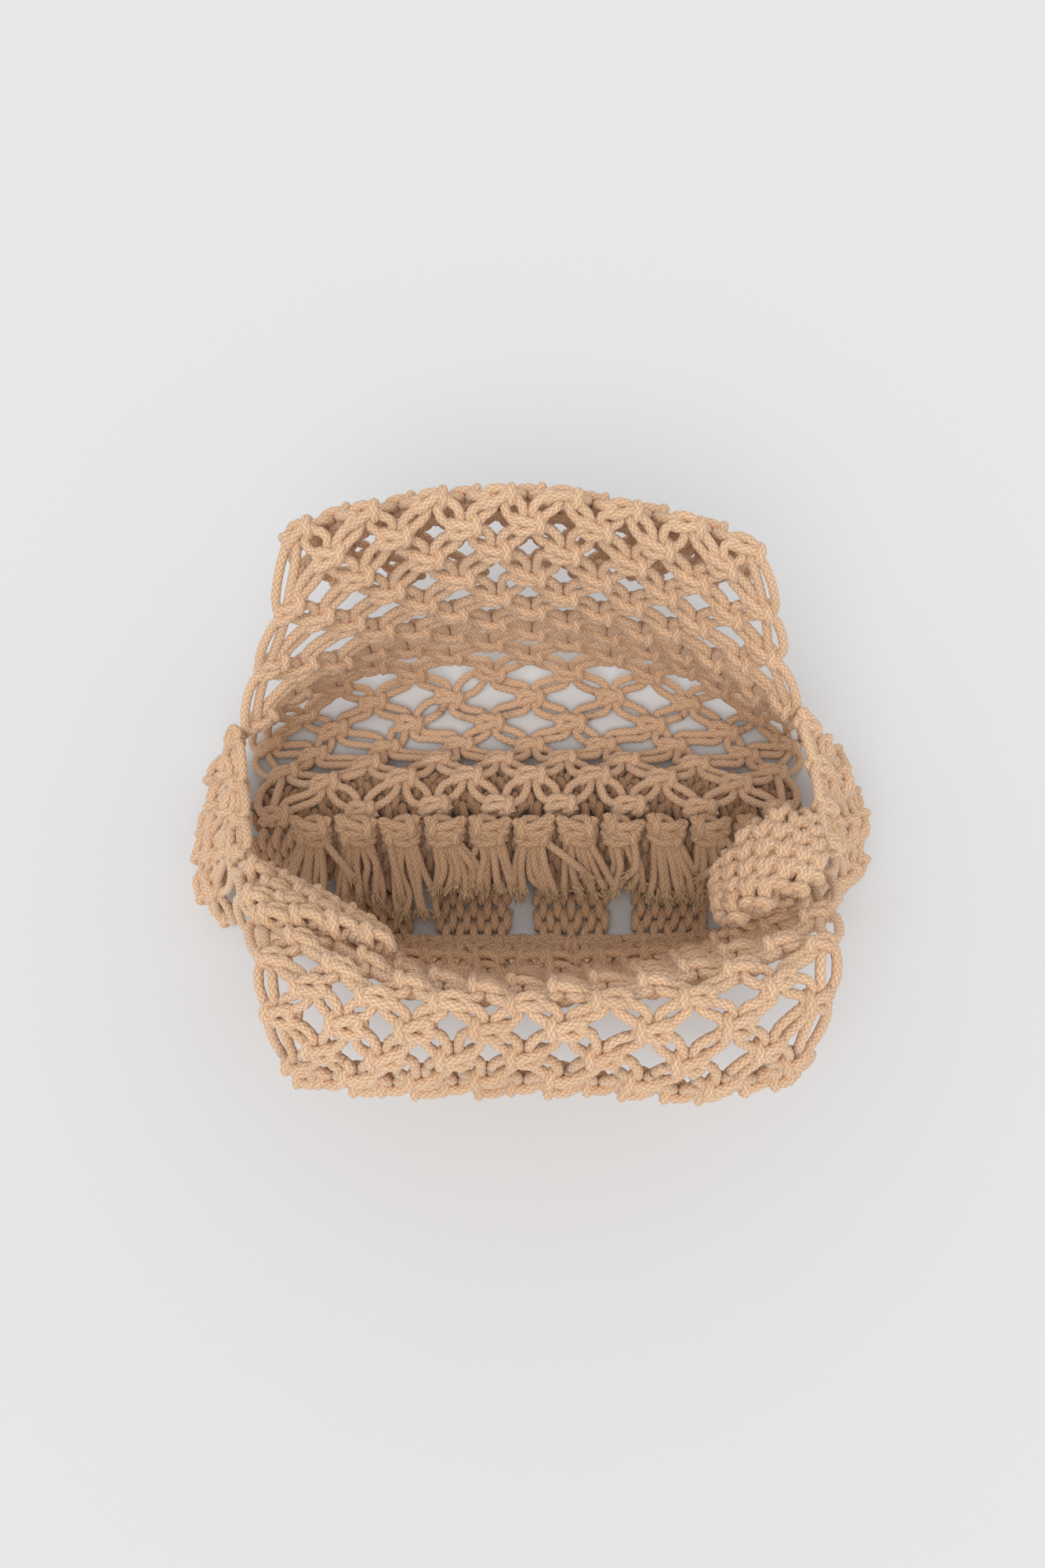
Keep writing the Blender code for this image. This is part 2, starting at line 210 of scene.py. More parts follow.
# ---------------------------------------------------------------- the square knot
# Half paths through one knot, in units of K: x across, y along the rows, z towards the side that shows.
KNOT_COLUMNS = ("x", "y", "z")
RIGHT_CORD = [
    (1.9, 0.95, 0.05), (1.6, 0.42, 0.3), (1.1, 0.25, 0.65), (0.6, 0.35, 0.95), (0, 0.6, 1.05), (-0.9, 0.85, 0.85),
    (-1.5, 0.95, 0.2), (-1.65, 0.5, -0.5), (-1.7, 0, -0.7),
]
LEFT_CORD = [
    (-2.0, 0.9, 0.05), (-1.6, 0.38, 0.5), (-1.0, 0.15, 0.2), (-0.3, 0.3, -0.8), (0.3, 0.45, -0.85), (1.0, 0.95, -0.2),
    (1.25, 0.85, 0.8), (1.3, 0, 1.4),
]
FLAT = 0.85  # how flat the knots are pulled
LEAVES = {"R": (0.90, -0.44), "L": (-0.92, -0.40), "F1": (-0.02, -1.0), "F2": (0.02, -1.0)}  # where each cord heads


def whole(half):
    """A path that mirrors itself below the knot's middle."""
    lower = [(x, -y, z) for x, y, z in reversed(half[:-1])]
    return np.array(half + lower, float)


KNOT = {
    "R": whole(RIGHT_CORD),
    "L": whole(LEFT_CORD),
    "F1": np.array([(-0.52, 1.3, 0), (-0.5, 0, 0), (-0.52, -1.3, 0)], float),
    "F2": np.array([(0.52, 1.3, 0), (0.5, 0, 0), (0.52, -1.3, 0)], float),
}


# ---------------------------------------------------------------- tubes
class Strands:
    """Collects tubes, then makes them one mesh with a UV map along and around each cord, and a tone."""

    def __init__(self, sides=8):
        self.sides = sides
        self.v, self.f, self.uv, self.tone = [], [], [], []
        self.count = 0

    def tube(self, points, radius, tone=0.0, start=0.0, caps=True, twist=0.0):
        pts = np.asarray(points, float)
        n = len(pts)
        if n < 2:
            return
        rad = np.broadcast_to(np.asarray(radius, float), (n,))
        tan = np.empty_like(pts)
        tan[1:-1] = pts[2:] - pts[:-2]
        tan[0], tan[-1] = pts[1] - pts[0], pts[-1] - pts[-2]
        tan /= np.maximum(np.linalg.norm(tan, axis=1, keepdims=True), 1e-12)
        side_dir = np.empty_like(pts)
        t0 = tan[0]
        ref = np.array([0.0, 0.0, 1.0]) if abs(t0[2]) < 0.9 else np.array([1.0, 0.0, 0.0])
        s = np.cross(t0, ref)
        s /= np.linalg.norm(s)
        side_dir[0] = s
        for i in range(1, n):
            t = tan[i]
            s = s - t * (s[0] * t[0] + s[1] * t[1] + s[2] * t[2])
            s = s / math.sqrt(s[0] * s[0] + s[1] * s[1] + s[2] * s[2])
            side_dir[i] = s
        up = np.cross(tan, side_dir)
        k = self.sides
        ang = np.linspace(0, 2 * np.pi, k, endpoint=False)
        ring = side_dir[:, None, :] * np.cos(ang)[None, :, None] + up[:, None, :] * np.sin(ang)[None, :, None]
        verts = pts[:, None, :] + ring * rad[:, None, None]
        length = start + np.concatenate([[0], np.cumsum(np.linalg.norm(np.diff(pts, axis=0), axis=1))]) / D
        base = self.count
        self.v.append(verts.reshape(-1, 3))
        self.count += n * k
        i = np.arange(n - 1)[:, None]
        j = np.arange(k)[None, :]
        a = base + i * k + j
        b = base + i * k + (j + 1) % k
        self.f.append(np.stack([a, b, b + k, a + k], -1).reshape(-1, 4))
        u0 = np.broadcast_to(j / k, (n - 1, k))
        u1 = np.broadcast_to((j + 1) / k, (n - 1, k))
        v0 = np.broadcast_to(length[:-1, None], (n - 1, k))
        v1 = np.broadcast_to(length[1:, None], (n - 1, k))
        self.uv.append(np.stack([np.stack([u0, v0], -1), np.stack([u1, v0], -1), np.stack([u1, v1], -1), np.stack([u0, v1], -1)], 2).reshape(-1, 2))
        self.tone.append(np.full(n * k, tone) if np.isscalar(tone) else np.repeat(np.asarray(tone, float), k))
        if caps:
            self.caps = getattr(self, "caps", [])
            self.caps.append((base, k, float(length[0])))
            self.caps.append((base + (n - 1) * k, k, float(length[-1])))

    def make(self, name, mat):
        v = np.concatenate(self.v)
        v = v - np.array([CENTRE_X, CENTRE_Y, 0.0])
        v[:, 2] = np.maximum(v[:, 2], 0.15)
        v *= MM
        f = np.concatenate(self.f)
        uv = np.concatenate(self.uv)
        loops = f.reshape(-1)
        starts = np.arange(len(f)) * 4
        totals = np.full(len(f), 4)
        cap_loops, cap_uv = [], []
        for base, k, s in getattr(self, "caps", []):
            cap_loops.append(np.arange(base, base + k))
            cap_uv.append(np.stack([np.arange(k) / k, np.full(k, s)], -1))
        if cap_loops:
            extra = np.concatenate(cap_loops)
            starts = np.concatenate([starts, len(loops) + np.arange(len(cap_loops)) * self.sides])
            totals = np.concatenate([totals, np.full(len(cap_loops), self.sides)])
            loops = np.concatenate([loops, extra])
            uv = np.concatenate([uv] + cap_uv)
        me = bpy.data.meshes.new(name)
        me.vertices.add(len(v))
        me.vertices.foreach_set("co", v.astype(np.float32).ravel())
        me.loops.add(len(loops))
        me.loops.foreach_set("vertex_index", loops.astype(np.int32))
        me.polygons.add(len(totals))
        me.polygons.foreach_set("loop_start", starts.astype(np.int32))
        layer = me.uv_layers.new(name="Cord")
        layer.data.foreach_set("uv", uv.astype(np.float32).ravel())
        tone = me.attributes.new("tone", "FLOAT", "POINT")
        tone.data.foreach_set("value", np.concatenate(self.tone).astype(np.float32))
        me.update(calc_edges=True)
        me.validate()
        me.polygons.foreach_set("use_smooth", np.ones(len(me.polygons), bool))
        me.materials.append(mat)
        ob = bpy.data.objects.new(name, me)
        bpy.context.scene.collection.objects.link(ob)
        return ob


def smooth_path(ctrl, fine=0.9):
    """A rounded curve through its control points, sampled in even steps of about `fine` along each span between them.
    """
    c = np.asarray(ctrl, float)
    c = np.vstack([2 * c[0] - c[1], c, 2 * c[-1] - c[-2]])
    out = []
    for i in range(1, len(c) - 2):
        p0, p1, p2, p3 = c[i - 1], c[i], c[i + 1], c[i + 2]
        n = max(2, int(np.linalg.norm(p2 - p1) / fine))
        d1 = max(np.linalg.norm(p1 - p0), 1e-6) ** 0.5
        d2 = max(np.linalg.norm(p2 - p1), 1e-6) ** 0.5
        d3 = max(np.linalg.norm(p3 - p2), 1e-6) ** 0.5
        m1 = (p1 - p0) / d1 - (p2 - p0) / (d1 + d2) + (p2 - p1) / d2
        m2 = (p2 - p1) / d2 - (p3 - p1) / (d2 + d3) + (p3 - p2) / d3
        m1, m2 = m1 * d2, m2 * d2
        t = (np.arange(n) / n)[:, None]
        out.append((2 * t**3 - 3 * t**2 + 1) * p1 + (t**3 - 2 * t**2 + t) * m1 + (3 * t**2 - 2 * t**3) * p2 + (t**3 - t**2) * m2)
    out.append(c[-2][None, :])
    return np.concatenate(out)


def thin(pts, turn=0.38, far=6.0, marks=()):
    """Keeps a point where the path has turned enough, or run far enough, since the last one kept."""
    d = np.diff(pts, axis=0)
    seg = np.linalg.norm(d, axis=1)
    d = d / np.maximum(seg, 1e-9)[:, None]
    bend = np.arccos(np.clip((d[1:] * d[:-1]).sum(1), -1, 1))
    keep = [0]
    a = run = 0.0
    for i in range(1, len(pts) - 1):
        a += bend[i - 1]
        run += seg[i - 1]
        if (a >= turn and run > 0.9) or run >= far or i in marks:
            keep.append(i)
            a = run = 0.0
    keep.append(len(pts) - 1)
    return keep


# ---------------------------------------------------------------- nets
def net_cords(surface, span, rows, columns, flip, phase, place=None, jitter=0.25, bow=1.0):
    """Control points (u, row, z) of every cord of a net of alternating square knots.

    rows: row numbers in order from where the cords start. columns: knots across in a full row. flip: -1 where the
    knots are mirrored. phase: 0 where the first row is a full one. place: how far across a knot sits. bow: how
    much the cords between knots arch.
    """
    knots = {}
    step = 1 if rows[0] < rows[-1] else -1
    for n, r in enumerate(rows):
        full = (n + phase) % 2 == 0
        for k in range(columns if full else columns - 1):
            u = -1 + (2 * k + (1 if full else 2)) / columns
            near = float(np.clip(r, span[0] + 0.2, span[1] - 0.2))
            if place:
                u = place(u, r)
            e = 0.01
            gu = np.linalg.norm(surface(u + e, near) - surface(u - e, near)) / (2 * e)
            gr = np.linalg.norm(surface(u, near + 0.1) - surface(u, near - 0.1)) / 0.2
            limit = 1 - 2.3 * K / gu
            u = float(np.clip(u, -limit, limit)) if columns > 1 else u
            gr = max(gr, 9.0)
            ju, jr = rng.normal(0, 1, 2) * jitter
            knots[(n, k)] = dict(
                u=u + ju * 2.0 / gu, r=r + jr * 2.0 / gr, gu=gu, gr=gr, full=full, turn=rng.normal(0, 0.1),
                s=min(1.0, gr / 20.0 + 0.08) * rng.uniform(0.94, 1.05), w=rng.uniform(0.94, 1.05),
            )

    def template(key, part):
        kn = knots[key]
        src = KNOT[part]
        x, y, z = src[:, 0] * flip * kn["w"], src[:, 1] * kn["s"], src[:, 2] * FLAT
        ct, st = math.cos(kn["turn"]), math.sin(kn["turn"])
        x, y = x * ct - y * st, x * st + y * ct
        return np.stack([kn["u"] + x * K / kn["gu"], kn["r"] - step * y * K / kn["gr"], z * K], -1)

    def heading(key, part, coming):
        """Which way a cord runs as it leaves a knot, or comes in at its top."""
        kn = knots[key]
        x, y = LEAVES[part]
        x = x * flip * (-1 if coming else 1)
        ct, st = math.cos(kn["turn"]), math.sin(kn["turn"])
        return np.array([x * ct - y * st, x * st + y * ct])

    def arch(key, p, nxt, q, a, b, much):
        """Two points on the arc of cord between two knots."""
        ka, kb = knots[key], knots[nxt]
        gu, gr = (ka["gu"] + kb["gu"]) / 2, (ka["gr"] + kb["gr"]) / 2
        pa = np.array([a[0] * gu, -step * a[1] * gr])
        pb = np.array([b[0] * gu, -step * b[1] * gr])
        reach = float(np.linalg.norm(pb - pa))
        ma, mb = heading(key, p, False) * reach * much, heading(nxt, q, True) * reach * much
        out = []
        for t in (0.3, 0.7) if reach > 1.5 * D else (0.5,):
            h = (
                (2 * t**3 - 3 * t**2 + 1) * pa + (t**3 - 2 * t**2 + t) * ma
                + (3 * t**2 - 2 * t**3) * pb + (t**3 - t**2) * mb
            )
            out.append((h[0] / gu, -step * h[1] / gr, a[2] + (b[2] - a[2]) * t + rng.normal(0, 0.25)))
        return np.array(out)

    def follow(n, k, side_out):
        """The knot that a pair reaches from one side of a knot ( 1 right, -1 left), and the side it comes in on."""
        full = knots[(n, k)]["full"]
        nxt = (n + 1, (k if side_out > 0 else k - 1) if full else (k + 1 if side_out > 0 else k))
        if nxt in knots:
            return nxt, -side_out
        nxt = (n + 2, k)
        if nxt in knots:
            return nxt, side_out
        return None, 0

    def turned(key, one, two):
        """The fold of a cord over the knot that it starts at."""
        kn = knots[key]
        xa, xb = KNOT[one][0, 0], KNOT[two][0, 0]
        high = {("R", "L"): 2.15, ("F1", "F2"): 1.95}.get((one, two), 2.0)
        x = np.array([xa + (xb - xa) * 0.12, (xa + xb) / 2, xb - (xb - xa) * 0.12]) * flip * kn["w"]
        y = np.array([high - 0.45, high, high - 0.45]) * kn["s"]
        z = np.full(3, 0.35 if one == "R" else -0.25)
        return np.stack([kn["u"] + x * K / kn["gu"], kn["r"] - step * y * K / kn["gr"], z * K], -1)

    used = set()
    begun = {}
    for n in range(len(rows)):
        for k in range(columns):
            if (n, k) not in knots:
                continue
            for part in ("R", "L", "F1", "F2"):
                if (n, k, part) in used:
                    continue
                path = []
                key, p = (n, k), part
                while True:
                    used.add((*key, p))
                    path.append(template(key, p))
                    side_out = 1 if (p in ("R", "F2")) == (flip > 0) else -1
                    nxt, side_in = follow(*key, side_out)
                    if nxt is None:
                        break
                    work = "R" if ((side_in > 0) == (flip > 0)) else "L"
                    fill = "F2" if work == "R" else "F1"
                    crossing = side_in == -side_out
                    q = (fill if p in ("R", "L") else work) if crossing else (work if p in ("R", "L") else fill)
                    if (*nxt, q) in used:
                        break
                    path.append(arch(key, p, nxt, q, path[-1][-1], template(nxt, q)[0], bow if crossing else 0.55))
                    key, p = nxt, q
                begun.setdefault((n, k), []).append((part, np.concatenate(path)))
    cords = []
    for key, parts in begun.items():
        parts = dict(parts)
        for one, two in (("R", "L"), ("F1", "F2"), ("R", "F2"), ("L", "F1")):
            if one in parts and two in parts:
                a, b = parts.pop(one), parts.pop(two)
                cords.append(np.concatenate([a[::-1], turned(key, one, two), b]))
        cords += parts.values()
    return cords


def lay(surface, span, sign, cords, makers, radius=D / 2, turn=0.33, lift=((0, 1), (0, 0))):
    """Sweeps the cords of a net. makers: (lowest row, highest row, strands) for each piece."""
    for c in cords:
        high = c[:, 2] + np.interp(c[:, 1], *lift)
        xyz = lifted(surface, np.clip(c[:, 0], -1.05, 1.05), c[:, 1], high, sign, span)
        pts = smooth_path(np.column_stack([xyz, c[:, 1]]))
        pts[:, 2] = np.maximum(pts[:, 2], radius)
        keep = thin(pts[:, :3], turn)
        row = pts[:, 3]
        shade = float(rng.normal(0, 0.35))
        for low, high, strands in makers:
            inside = (row >= low) & (row < high)
            run = []
            for i in keep + [None]:
                if i is not None and inside[i]:
                    run.append(i)
                    continue
                if run and i is not None:
                    run.append(i)
                if len(run) > 1:
                    strands.tube(pts[run, :3], radius, tone=shade, start=float(rng.random()))
                run = []


def scales(surface, span, u, row):
    e = 0.01
    near = float(np.clip(row, span[0] + 0.15, span[1] - 0.15))
    gu = np.linalg.norm(surface(u + e, near) - surface(u - e, near)) / (2 * e)
    gr = np.linalg.norm(surface(u, near + 0.1) - surface(u, near - 0.1)) / 0.2
    return gu, max(gr, 6.0)


def stamp(strands, surface, span, sign, u, row, flip=1, size=1.0, tone=0.0, turn=0.0, tall=1.0, lift=0.0):
    """A knot by itself, for the tight parts, its ends tucked under its neighbours."""
    gu, gr = scales(surface, span, u, row)
    ct, st = math.cos(turn), math.sin(turn)
    for part in ("R", "L"):
        src = KNOT[part].copy()
        src[0, 2] = src[-1, 2] = -0.45
        x, y = src[:, 0] * flip * size, src[:, 1] * size * tall
        x, y = x * ct - y * st, x * st + y * ct
        pts = smooth_path(lifted(surface, u + x * K / gu, row + y * K / gr, (src[:, 2] * FLAT * size * K) + lift, sign, span))
        pts[:, 2] = np.maximum(pts[:, 2], D / 2)
        strands.tube(pts[thin(pts, 0.42)], D / 2 * size**0.5, tone=tone + float(rng.normal(0, 0.3)), start=float(rng.random()))


def bead(strands, surface, span, sign, u, row, long=1.0, tone=0.0, turn=0.0, lift=0.0, radius=D / 2):
    """The short upright loop that shows on the face of a tight square knot."""
    gu, gr = scales(surface, span, u, row)
    y = np.array([-1.25, -0.85, 0, 0.85, 1.25]) * long
    x = y * math.tan(turn) + np.array([0.25, 0, 0, 0, -0.25])
    z = np.array([-0.5, 0.35, 0.75, 0.35, -0.5])
    pts = smooth_path(lifted(surface, u + x * D / gu, row + y * D / gr, z * D + lift, sign, span))
    pts[:, 2] = np.maximum(pts[:, 2], radius)
    strands.tube(pts[thin(pts, 0.4)], radius, tone=tone + float(rng.normal(0, 0.35)), start=float(rng.random()))


# ---------------------------------------------------------------- materials
def cord_material(name, light, dark, groove_shade, fuzz=0.35, rough=0.88):
    mat = bpy.data.materials.new(name)
    mat.use_nodes = True
    nt = mat.node_tree
    nodes, links = nt.nodes, nt.links
    bsdf = nodes["Principled BSDF"]
    bsdf.inputs["Roughness"].default_value = rough
    bsdf.inputs["Sheen Weight"].default_value = fuzz
    bsdf.inputs["Sheen Roughness"].default_value = 0.5
    bsdf.inputs["Specular IOR Level"].default_value = 0.2
    bsdf.inputs["Sheen Tint"].default_value = (1.0, 0.93, 0.84, 1)

    def math_node(op, a, b=None):
        n = nodes.new("ShaderNodeMath")
        n.operation = op
        for i, v in enumerate((a, b)):
            if v is None:
                continue
            if isinstance(v, (int, float)):
                n.inputs[i].default_value = v
            else:
                links.new(v, n.inputs[i])
        return n.outputs[0]

    uv = nodes.new("ShaderNodeUVMap")
    uv.uv_map = "Cord"
    sep = nodes.new("ShaderNodeSeparateXYZ")
    links.new(uv.outputs[0], sep.inputs[0])
    around = math_node("MULTIPLY", sep.outputs[0], 6.0)
    along = math_node("MULTIPLY", sep.outputs[1], 1.35)
    p = math_node("ADD", around, along)
    q = math_node("SUBTRACT", around, along)
    parity = math_node("MODULO", math_node("ADD", math_node("ADD", math_node("FLOOR", p), math_node("FLOOR", q)), 4000.0), 2.0)
    wave_p = math_node("SINE", math_node("MULTIPLY", math_node("FRACT", p), math.pi))
    wave_q = math_node("SINE", math_node("MULTIPLY", math_node("FRACT", q), math.pi))
    a = math_node("MULTIPLY", wave_p, parity)
    b = math_node("MULTIPLY", wave_q, math_node("SUBTRACT", 1.0, parity))
    braid = math_node("ADD", a, b)
    noise = nodes.new("ShaderNodeTexNoise")
    noise.inputs["Scale"].default_value = 1500.0
    noise.inputs["Detail"].default_value = 3.0
    coord = nodes.new("ShaderNodeTexCoord")
    links.new(coord.outputs["Object"], noise.inputs["Vector"])
    big = nodes.new("ShaderNodeTexNoise")
    big.inputs["Scale"].default_value = 40.0
    big.inputs["Detail"].default_value = 2.0
    links.new(coord.outputs["Object"], big.inputs["Vector"])
    tone = nodes.new("ShaderNodeAttribute")
    tone.attribute_name = "tone"
    height = math_node("ADD", braid, math_node("MULTIPLY", noise.outputs["Fac"], 0.5))
    # painted light and shade: lighter on the crowns of the braid, painted shade darker between its strands
    braid_shade_mask = nodes.new("ShaderNodeMapRange")
    braid_shade_mask.inputs["From Min"].default_value = 0.0
    braid_shade_mask.inputs["From Max"].default_value = 0.75
    braid_shade_mask.interpolation_type = "SMOOTHSTEP"
    links.new(braid, braid_shade_mask.inputs["Value"])
    mix1 = nodes.new("ShaderNodeMix")
    mix1.data_type = "RGBA"
    mix1.inputs["A"].default_value = (*dark, 1)
    mix1.inputs["B"].default_value = (*light, 1)
    vary = math_node("ADD", math_node("MULTIPLY", big.outputs["Fac"], 0.9), math_node("MULTIPLY", tone.outputs["Fac"], 0.35))
    links.new(math_node("MAXIMUM", math_node("MINIMUM", math_node("ADD", vary, 0.25), 1.0), 0.0), mix1.inputs["Factor"])
    braid_shade_mix = nodes.new("ShaderNodeMix")
    braid_shade_mix.data_type = "RGBA"
    braid_shade_mix.inputs["A"].default_value = (*groove_shade, 1)
    links.new(mix1.outputs["Result"], braid_shade_mix.inputs["B"])
    links.new(braid_shade_mask.outputs["Result"], braid_shade_mix.inputs["Factor"])
    links.new(braid_shade_mix.outputs["Result"], bsdf.inputs["Base Color"])
    bump = nodes.new("ShaderNodeBump")
    bump.inputs["Strength"].default_value = 0.55
    bump.inputs["Distance"].default_value = 0.0006
    links.new(height, bump.inputs["Height"])
    links.new(bump.outputs["Normal"], bsdf.inputs["Normal"])
    return mat


# LIGHT and DARK are the cord's own tones, mixed at random; the third colour of each cord material is painted shade
# between the braid's strands
LIGHT = (0.80, 0.545, 0.355)
DARK = (0.66, 0.42, 0.255)
GROOVE_SHADE = (0.47, 0.275, 0.155)
net_mat = cord_material("cotton_net_look", LIGHT, DARK, GROOVE_SHADE)
dense_mat = cord_material("dense_knots_look", (0.76, 0.50, 0.31), (0.62, 0.38, 0.22), (0.42, 0.235, 0.12))
fringe_mat = cord_material("fringe_look", (0.66, 0.43, 0.26), (0.54, 0.33, 0.19), (0.34, 0.19, 0.10))
yarn_mat = cord_material("frayed_ends_look", (0.84, 0.60, 0.36), (0.58, 0.37, 0.19), (0.44, 0.26, 0.13), fuzz=0.2)

# painted shade: a darker copy of the cord colours, for the knots in shade under the seam
under_shade_mat = cord_material("seam_shade_look", (0.50, 0.30, 0.17), (0.40, 0.23, 0.12), (0.24, 0.12, 0.06))

back, front = panel(BACK, BACK_DENTS), panel(FRONT, FRONT_DENTS)
left, right = side(LEFT), side(RIGHT)
pieces = []


def done(strands, name, mat, slot, *nodes):
    ob = strands.make(name, mat)
    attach(ob, "root")
    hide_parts(*nodes)
    pieces.append(ob)
    return ob


# ---------------------------------------------------------------- the back net
SPREAD_ROWS, SPREAD = (2.0, 4.0, 8.0, 12.0), (-0.16, 0.16, 0.16, 0.0)  # how much wider the middle knots stand


def back_place(u, row):
    k = float(np.interp(row, SPREAD_ROWS, SPREAD))
    u = 1.04 * ((1 + k) * u - k * u**3)
    return u + 0.03 * (1 - u * u)


def front_place(u, row):
    return 1.05 * u


back_span, front_span = span_of(BACK), span_of(FRONT)
floor_b, wall_b, cuff_b = Strands(), Strands(), Strands()
cords = net_cords(back, back_span, [21.0 - k for k in range(22)], 8, 1, 1, back_place)
lay(back, back_span, 1, cords, [(-1, 4.3, floor_b), (4.3, 17.4, wall_b), (17.4, 30, cuff_b)])
# the tight knots under the seam, seen through the net, painted darker with low tones and darker cord colours for the
# shade under the seam
under_b = Strands(sides=6)
for n in range(7):
    r = 0.1 + 0.31 * n
    for i in range(-18, 19):
        u = (i + (0.5 if n % 2 else 0.0)) * 0.053
        if abs(u) < 0.96:
            bead(under_b, back, back_span, 1, u, r, long=0.95, tone=-0.4, turn=float(rng.normal(0, 0.3)), lift=-6.5)
    us = np.linspace(-0.97, 0.97, 70)
    pts = lifted(back, us, np.full(70, r + 0.15), -6.0 + rng.normal(0, 0.3, 70), 1, back_span)
    under_b.tube(pts, 2.3, tone=-0.8)
done(floor_b, "back_floor_net", net_mat, "cotton_net", "back_floor")
under = under_b.make("back_floor_seam_knots", under_shade_mat)
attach(under, "root")
done(wall_b, "back_wall_net", net_mat, "cotton_net", "back_wall")
done(cuff_b, "back_cuff_net", net_mat, "cotton_net", "back_cuff")

# ---------------------------------------------------------------- the front net
floor_f, wall_f, cuff_f = Strands(), Strands(), Strands()
def front_out(u, row):
    """The front panel with the middle of its wall pushed out by the weight of the roll."""
    p = front(u, row)
    much = np.interp(row, (6.0, 8.0, 13.5, 15.6), (0.0, 7.0, 7.0, 0.0)) * np.clip(1 - (np.asarray(u, float) / 0.85) ** 2, 0, 1)
    p[..., 1] -= much
    return p


cords = net_cords(front_out, front_span, [20.0 - k for k in range(15)], 8, -1, 0, front_place)
lay(front_out, front_span, -1, cords, [(-1, 17.4, wall_f), (17.4, 30, cuff_f)], lift=((6, 12, 13.5, 15.5), (-5, -5, -3, 0)))

# the dense floor: upright loops in bricks, slits between the blocks, then larger knots with small eyes
row_y = np.linspace(0, 6.2, 300)
line = front(np.zeros(300), row_y)
arc = np.concatenate([[0], np.cumsum(np.linalg.norm(np.diff(line, axis=0), axis=1))])
ROW_STEP, BEAD_STEP = 7.9, 8.1
for k in range(int(arc[-1] / ROW_STEP)):
    r = float(np.interp((k + 0.5) * ROW_STEP, arc, row_y))
    y = float(np.interp(r, row_y, line[:, 1]))
    if y < -60:
        break
    slits = -59.5 < y < -20.5
    for i in range(-20, 21):
        x = (i + (0.5 if k % 2 else 0.0)) * BEAD_STEP
        if abs(x) > 151:
            continue
        off = (x + SLIT_PITCH / 2) % SLIT_PITCH - SLIT_PITCH / 2  # from the nearest slit's middle
        if slits and abs(x) < 130 and abs(off) < SLIT_W / 2 + 2.2:
            if abs(off) > SLIT_W / 2 - 2.0:
                x += math.copysign(SLIT_W / 2 + 2.4 - abs(off), off)
            else:
                continue
        bead(floor_f, front, front_span, -1, x / (162.0 if x > 0 else 157.0), r, long=1.0 * rng.uniform(0.92, 1.08), turn=float(rng.normal(0, 0.12)), lift=-1.2)
    # cords running across under the loops, painted darker for the shade under the loops
    for low, high in [(-155, 155)] if not slits else [(-155, -121)] + [(m * SLIT_PITCH + 8.0, (m + 1) * SLIT_PITCH - 8.0) for m in range(-2, 2)] + [(121, 155)]:
        xs = np.arange(low, high + 0.1, 4.0)
        zs = -1.2 + 1.0 * np.cos(xs / BEAD_STEP * 2 * math.pi + k * math.pi)
        pts = lifted(front, xs / np.where(xs > 0, 162.0, 157.0), np.full(len(xs), r) + 0.12, zs, -1, front_span)
        pts[:, 2] = np.maximum(pts[:, 2], 2.0)
        floor_f.tube(pts, 2.2, tone=float(rng.normal(-0.6, 0.3)))
# between and below the slits the blocks are joined by knots round small eyes, one eye under each block
JOINED_ROWS = (-60.5, -68.0, -76.0)
JOINED = ((-24.0, -8.5, 8.5, 24.0), (-31.5, -15.5, 15.5), (-24.0, -9.0, 9.0, 24.0))
for n, y in enumerate(JOINED_ROWS):
    r = float(np.interp(-y, -line[:, 1], row_y))
    for block_at in range(-3, 3):
        for dx in JOINED[n]:
            x = (block_at + 0.5) * SLIT_PITCH + dx * SLIT_PITCH / 63.0
            if abs(x) > 150:
                continue
            stamp(floor_f, front, front_span, -1, x / (162.0 if x > 0 else 157.0), r, flip=1 if rng.random() < 0.5 else -1, size=1.0 * rng.uniform(0.94, 1.06), turn=float(rng.normal(0, 0.2)), tall=0.9)

# the left end of the front wall is tight and fuzzy, like the blocks
for n in range(6):
    for i in range(4):
        u = -0.93 + 0.118 * i + (0.059 if n % 2 else 0.0)
        stamp(wall_f, front, front_span, -1, u, 8.9 + 0.68 * n, flip=-1, size=1.1, turn=float(rng.normal(0, 0.2)), lift=0.5, tall=0.9)
done(floor_f, "front_floor_knots", dense_mat, "dense_knots", "front_floor")
done(wall_f, "front_wall_net", net_mat, "cotton_net", "front_wall")
done(cuff_f, "front_cuff_net", net_mat, "cotton_net", "front_cuff")

# ---------------------------------------------------------------- side nets
for surface, table, sign, name in ((left, LEFT, 1, "side_left"), (right, RIGHT, -1, "side_right")):
    st = Strands()
    cords = net_cords(surface, span_of(table), [4.0, 3.1, 2.2, 1.3, 0.4], 3, sign, 0, jitter=0.4, bow=1.0)
    lay(surface, span_of(table), sign, cords, [(-9, 9, st)])
    done(st, name + "_net", net_mat, "cotton_net", name)


# ---------------------------------------------------------------- rims
RIM_PITCH = 11.5  # half the way from one knot to the next


def rim(points, across, name):
    """A chain of square knots along the rim."""
    ctrl = np.array(points, float)
    path = smooth_path(ctrl, 0.5)
    seg = np.concatenate([[0], np.cumsum(np.linalg.norm(np.diff(path, axis=0), axis=1))]) / RIM_PITCH
    total = float(seg[-1])
    across = np.array(across, float)

    def at(u, row):
        u, row = np.asarray(u, float), np.asarray(row, float)
        base = np.stack([np.interp(row, seg, path[:, k]) for k in range(3)], -1)
        return base + u[..., None] * across * 10.0

    st = Strands()
    rows = [total / 2 + k for k in range(-4, 5)]
    cords = net_cords(at, (0.0, total), rows, 1, 1, 1, jitter=0.2)
    lay(at, (0.0, total), -1, cords, [(-20, 20, st)])
    done(st, name + "_cords", net_mat, "rim_braid", name)


rim(RIM_LEFT, (0.4, 0, 0.92), "rim_left")
rim(RIM_RIGHT, (0.4, 0, -0.92), "rim_right")

